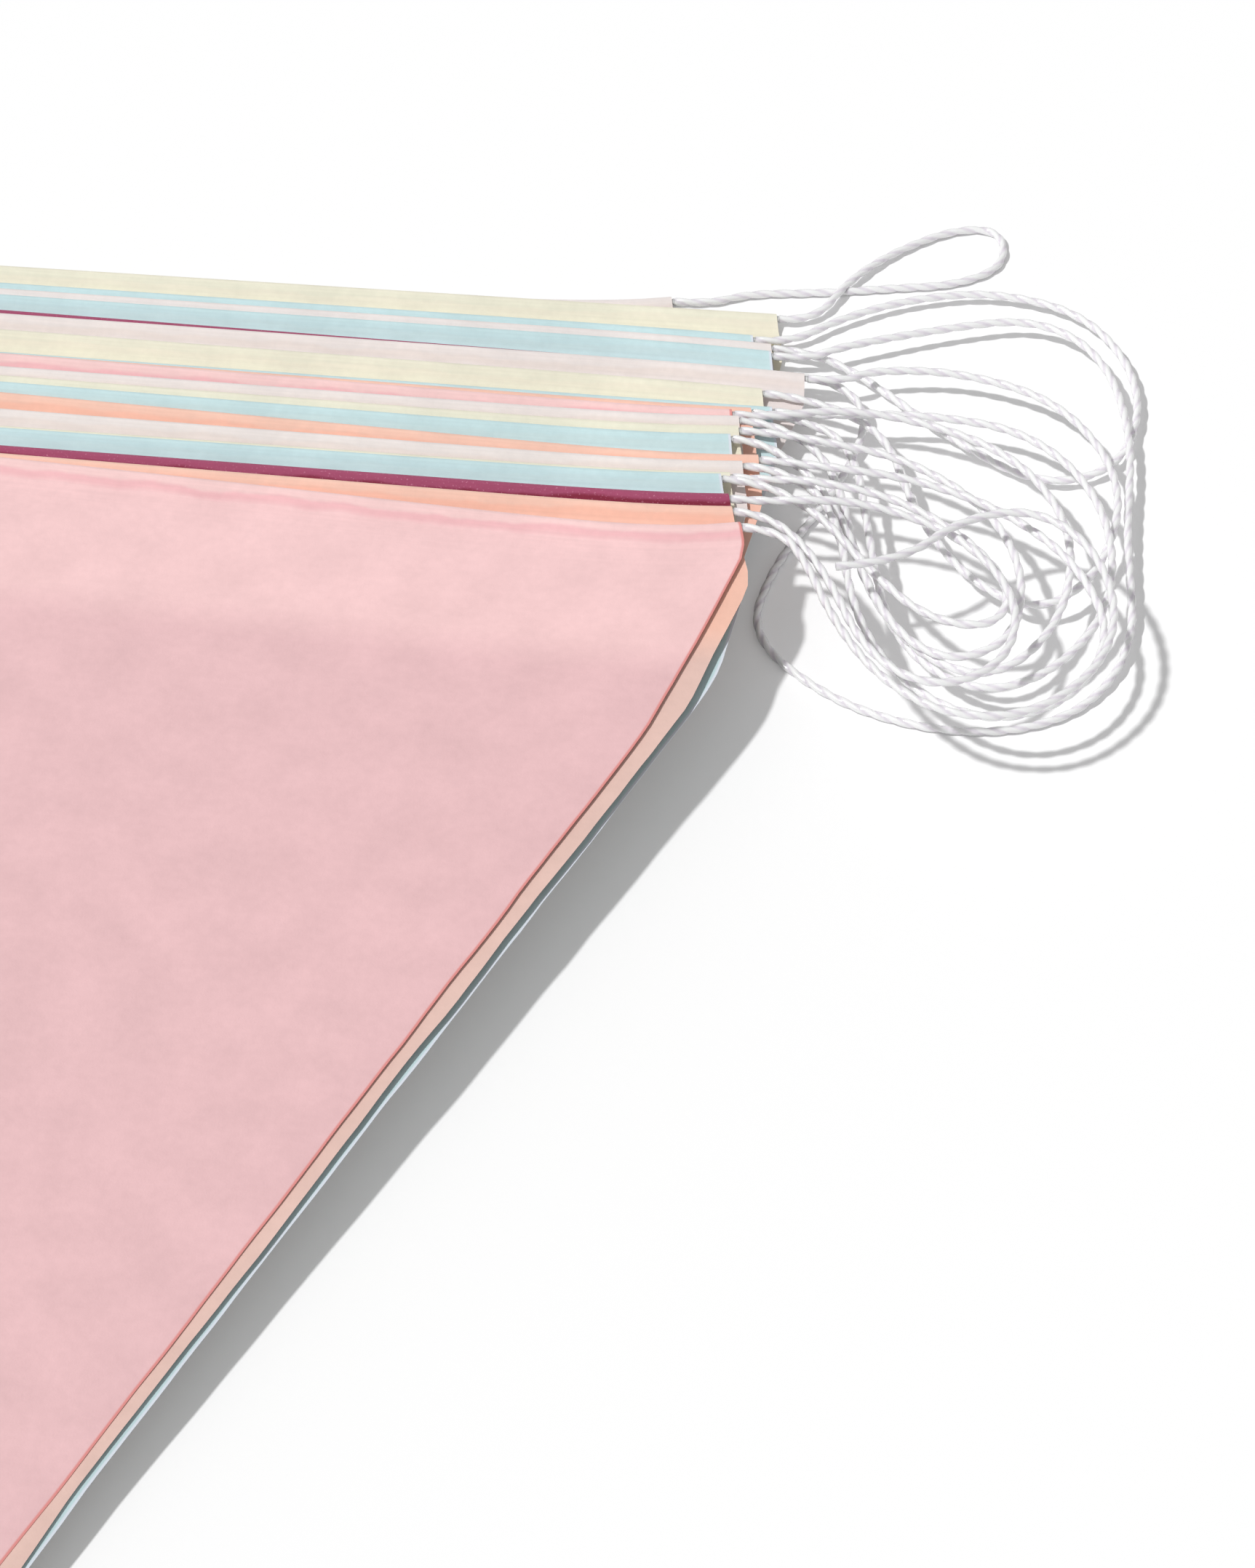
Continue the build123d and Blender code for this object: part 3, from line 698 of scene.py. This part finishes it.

# %% [markdown]
# ## Tissue paper
# Tissue paper is beaten wood fibre, dyed in the pulp, so thin that what lies under it shows
# through. Three things give it away. It is cloudy, because the fibres lie in loose
# clumps. It is matt, with a soft bloom of fibre ends. And where a flap is glued under
# it, over the first 28 mm here, two layers look cleaner and paler than one over the
# shadows of the pile, so the body's tint is painted darker: partly the colours of the
# sheets beneath, partly painted shade of the pile seen through one layer. The glue ends
# at the cord. The narrow band below the hem is painted darker on most colours, as painted
# shade in the crease, and the hem itself is painted lighter, most of all on the burgundy,
# as painted light on the top of the roll. Fine lines along the hem are painted shade of
# the small creases of the fold. Each colour is therefore four tints, from hem to body.

# %% Tissue paper material
# Each row: hem with painted light on the top of the roll, crease with painted shade, flap, and body painted
# darker, partly with painted shade of the pile seen through
TINTS = {
    "pink": ("#F8D2D0", "#F3BFC2", "#F6CDCD", "#EAC0C2"),
    "peach": ("#F8CBB8", "#F8C2AD", "#F8C6B2", "#E8C5BA"),
    "burgundy": ("#A64E6E", "#84283F", "#8E3152", "#8A2C48"),
    "blue": ("#CAE4E7", "#CBE2E4", "#CBE3E6", "#C3DCDF"),
    "yellow": ("#EEEAD6", "#F0E9D5", "#F0EAD4", "#E6E0C8"),
    "white": ("#EEE5E2", "#EBDFDA", "#EAE0DD", "#E6DCDA"),
}
SPECKS = {"burgundy": "#D893AB"}
# Bands painted along the cut edge. On the pink, a salmon band is painted shade of the tinted shadow line that
# light through the tissue gives. On the blue, a paler band is painted light on a strip that lies in shade.
EDGE_PAINTED_LIGHT = {"pink": "#E3938E", "blue": "#DEE5EE"}
EDGE_PAINTED_LIGHT_WIDTH = 0.5
ROLL_END = FLAP_DEPTH + math.radians(180 + RAMP_ANGLE) * (CHANNEL_RADIUS + SHEET / 2)
CLOUD, CLUMP, FIBRE_LENGTH = 9.0, 1.4, 0.35
LINE_LENGTH, LINE_STEP, LINES_REACH = 22.0, 0.55, 9
TINT_SPAN, BODY_FROM = 40, 30


def tissue_paper(name):
    """Tissue paper of one colour, drawn on the sheet's own measure in UV units."""
    material = bpy.data.materials.new("tissue_paper_" + name)
    material.use_nodes = True
    tree = material.node_tree
    shader = tree.nodes["Principled BSDF"]
    measure = add_node(tree, "ShaderNodeUVMap", uv_map="UVMap")
    clouds, clumps, fibres = (
        add_node(tree, "ShaderNodeTexNoise",
                 {"Vector": measure.outputs[0], "Scale": UV_UNIT / size, "Detail": detail})
        for size, detail in ((CLOUD, 4.0), (CLUMP, 3.0), (FIBRE_LENGTH, 2.0)))
    way = add_node(tree, "ShaderNodeSeparateXYZ", {0: measure.outputs[0]})
    along_hem = add_node(tree, "ShaderNodeVectorMath",
                         {0: measure.outputs[0], 1: (UV_UNIT / LINE_LENGTH, UV_UNIT / LINE_STEP, 1)},
                         operation="MULTIPLY")
    lines = add_node(tree, "ShaderNodeTexNoise",
                     {"Vector": along_hem.outputs[0], "Scale": 1.0, "Detail": 3.0})
    waver = add_node(tree, "ShaderNodeMapRange",
                     {"Value": clouds.outputs["Fac"], "To Min": -0.012, "To Max": 0.012})
    distance = add_node(tree, "ShaderNodeMath", {0: way.outputs["Y"], 1: waver.outputs[0]},
                        operation="ADD")
    down = add_node(tree, "ShaderNodeMapRange", {"Value": distance.outputs[0], "From Min": ROLL_END / UV_UNIT,
                                                 "From Max": (ROLL_END + TINT_SPAN) / UV_UNIT})
    tint_with_painted_light = add_node(tree, "ShaderNodeValToRGB", {"Fac": down.outputs[0]})
    # the crease tint is painted shade, the body tint is partly painted shade, and the hem tint holds painted
    # light on the roll
    hem, crease_shade, flap, body = (linear(code) for code in TINTS[name])
    stops = tint_with_painted_light.color_ramp.elements
    for place_mm, colour in ((0.5, hem), (1.0, crease_shade), (1.5, crease_shade), (2.5, flap), (23.0, flap)):
        stops.new(place_mm / TINT_SPAN).color = colour
    stops[0].color, stops[-1].position, stops[-1].color = hem, BODY_FROM / TINT_SPAN, body
    cloudy = add_node(tree, "ShaderNodeMapRange",
                      {"Value": clouds.outputs["Fac"], "From Min": 0.3, "From Max": 0.7,
                                                   "To Min": 0.95, "To Max": 1.04})
    grainy = add_node(tree, "ShaderNodeMapRange",
                      {"Value": clumps.outputs["Fac"], "From Min": 0.3, "From Max": 0.7,
                                                   "To Min": 0.975, "To Max": 1.02})
    at_hem = add_node(tree, "ShaderNodeMapRange", {"Value": way.outputs["Y"], "From Min": ROLL_END / UV_UNIT,
                                                   "From Max": (ROLL_END + LINES_REACH) / UV_UNIT,
                                                   "To Min": 1.0, "To Max": 0.1})
    # painted shade of small fold creases along the hem, darker more often than lighter, fading away below it
    lined = add_node(tree, "ShaderNodeMapRange",
                     {"Value": lines.outputs["Fac"], "From Min": 0.3, "From Max": 0.7,
                                                  "To Min": -0.045, "To Max": 0.025})
    lines_here = add_node(tree, "ShaderNodeMath", {0: lined.outputs[0], 1: at_hem.outputs[0], 2: 1.0},
                          operation="MULTIPLY_ADD")
    marks = add_node(tree, "ShaderNodeMath", {0: cloudy.outputs[0], 1: grainy.outputs[0]},
                     operation="MULTIPLY")
    both = add_node(tree, "ShaderNodeMath", {0: marks.outputs[0], 1: lines_here.outputs[0]},
                    operation="MULTIPLY")
    paper = add_node(tree, "ShaderNodeVectorMath", {0: tint_with_painted_light.outputs["Color"], "Scale": both.outputs[0]},
                     operation="SCALE")
    colour = paper.outputs[0]
    if name in SPECKS:
        pale = add_node(tree, "ShaderNodeMapRange",
                        {"Value": fibres.outputs["Fac"], "From Min": 0.62, "From Max": 0.8})
        flecked = add_node(tree, "ShaderNodeMix", {"Factor": pale.outputs[0]}, data_type="RGBA")
        tree.links.new(colour, flecked.inputs[6])
        flecked.inputs[7].default_value = linear(SPECKS[name])
        colour = flecked.outputs[2]
    # painted shade on the pink's edge and painted light on the blue's edge, within half a millimetre of the
    # cut
    if name in EDGE_PAINTED_LIGHT:
        from_cut = add_node(tree, "ShaderNodeAttribute", attribute_name="from_cut")
        rim = add_node(tree, "ShaderNodeMapRange",
                       {"Value": from_cut.outputs["Fac"], "From Min": EDGE_PAINTED_LIGHT_WIDTH,
                                                    "From Max": EDGE_PAINTED_LIGHT_WIDTH / 2})
        edged = add_node(tree, "ShaderNodeMix", {"Factor": rim.outputs[0]}, data_type="RGBA")
        tree.links.new(colour, edged.inputs[6])
        edged.inputs[7].default_value = linear(EDGE_PAINTED_LIGHT[name])
        colour = edged.outputs[2]
    relief = add_node(tree, "ShaderNodeMath", {0: clumps.outputs["Fac"], 1: fibres.outputs["Fac"]},
                      operation="ADD")
    bump = add_node(tree, "ShaderNodeBump",
                    {"Height": relief.outputs[0], "Strength": 0.4, "Distance": 0.06 * MM})
    tree.links.new(colour, shader.inputs["Base Color"])
    tree.links.new(bump.outputs["Normal"], shader.inputs["Normal"])
    shader.inputs["Roughness"].default_value = 0.88
    shader.inputs["IOR"].default_value = 1.5
    shader.inputs["Specular IOR Level"].default_value = 0.25
    shader.inputs["Sheen Weight"].default_value = 0.12
    shader.inputs["Sheen Roughness"].default_value = 0.6
    return material


PAPERS = {name: tissue_paper(name) for name in TINTS}
print("papers", *PAPERS)

# %% [markdown]
# ## The pile of pennants
# Each sheet is drawn flat, folded by the tree, given its thickness by Solidify and turned
# into a plain mesh. Its cut edge is then marked sharp, or smooth shading would draw a soft
# dark rim on the paper.

# %% Fold every pennant
THICKNESS = 0.1


def make_pennant(number):
    colour = PENNANTS[number][0]
    name = f"pennant_{number + 1:02d}_{colour}"
    side = side_view(number)
    mesh, area, flat_size = flat_sheet(number, side)
    drawing = bpy.data.objects.new("side_view", bpy.data.meshes.new("side_view"))
    drawing.data.from_pydata([(0, back * MM, height * MM) for back, height in side],
                             [(i, i + 1) for i in range(len(side) - 1)], [])
    piece = bpy.data.objects.new(name + "_paper", mesh)
    for made in (drawing, piece):
        bpy.context.scene.collection.objects.link(made)
    grow(piece, fold, {
        "Side view": drawing, "Turn": turn(number), "Seed": 0.37 * number, "Finish": PAPERS[colour],
        "Bow": PENNANTS[number][6] * MM, "Bow lean": float(bow_lean(number)),
        "Hem half width": fold_half_width(number) * MM,
        "Place": [float(v) for v in place(number, 0, 0, 0)]})
    solid = piece.modifiers.new("thickness", "SOLIDIFY")
    solid.thickness, solid.offset = THICKNESS * MM, 0
    plain_mesh(piece).set_sharp_from_angle(angle=math.radians(50))
    bpy.data.objects.remove(drawing)
    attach(piece, "root")
    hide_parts(name)
    return area


areas = [make_pennant(number) for number in range(COUNT)]
print("paper in all", round(sum(areas), 4), "square metres")

# %% [markdown]
# ## Light and floor
# The photograph was lit by one small lamp, high at the left, and by a bright white room.
# A sun lamp with a small angle gives the crisp shadows, and the world the rest. Together
# they light a flat surface at a level at which a colour renders about as it is written.

# %% Light and floor
SHADOW_SHIFT = Vector((0.57, 0.285, -1.0))
SUN_SHARE = 0.62
FLOOR_GLOW = 0.12
FLOOR_REACH, FLOOR_GAP = 3, 0.1 * MM

sun_data = bpy.data.lights.new("lamp", "SUN")
sun_data.energy = SUN_SHARE * math.pi / (-SHADOW_SHIFT.normalized().z)
sun_data.angle = math.radians(3)
sun = bpy.data.objects.new("lamp", sun_data)
bpy.context.scene.collection.objects.link(sun)
sun.rotation_euler = SHADOW_SHIFT.to_track_quat("-Z", "Y").to_euler()

world = bpy.data.worlds.new("white_room")
world.use_nodes = True
world.node_tree.nodes["Background"].inputs["Color"].default_value = linear("#FFFFFF")
world.node_tree.nodes["Background"].inputs["Strength"].default_value = 1 - SUN_SHARE
bpy.context.scene.world = world
bpy.context.scene.view_settings.view_transform = "Standard"


def floor_material():
    """Matt white, with a little light of its own that only the camera sees, as a light table has."""
    material = bpy.data.materials.new("matt_white_table")
    material.use_nodes = True
    tree = material.node_tree
    shader = tree.nodes["Principled BSDF"]
    ray = add_node(tree, "ShaderNodeLightPath")
    glow = add_node(tree, "ShaderNodeMath", {0: ray.outputs["Is Camera Ray"], 1: FLOOR_GLOW},
                    operation="MULTIPLY")
    tree.links.new(glow.outputs[0], shader.inputs["Emission Strength"])
    shader.inputs["Emission Color"].default_value = linear("#FFFFFF")
    shader.inputs["Base Color"].default_value = (1 - FLOOR_GLOW, 1 - FLOOR_GLOW, 1 - FLOOR_GLOW, 1)
    shader.inputs["Roughness"].default_value = 0.9
    shader.inputs["Specular IOR Level"].default_value = 0.1
    return material


floor_mesh = bpy.data.meshes.new("floor")
floor_mesh.from_pydata([(x * FLOOR_REACH, y * FLOOR_REACH, -FLOOR_GAP)
                        for x, y in ((-1, -1), (1, -1), (1, 1), (-1, 1))], [], [(0, 1, 2, 3)])
floor = bpy.data.objects.new("floor", floor_mesh)
floor_mesh.materials.append(floor_material())
bpy.context.scene.collection.objects.link(floor)
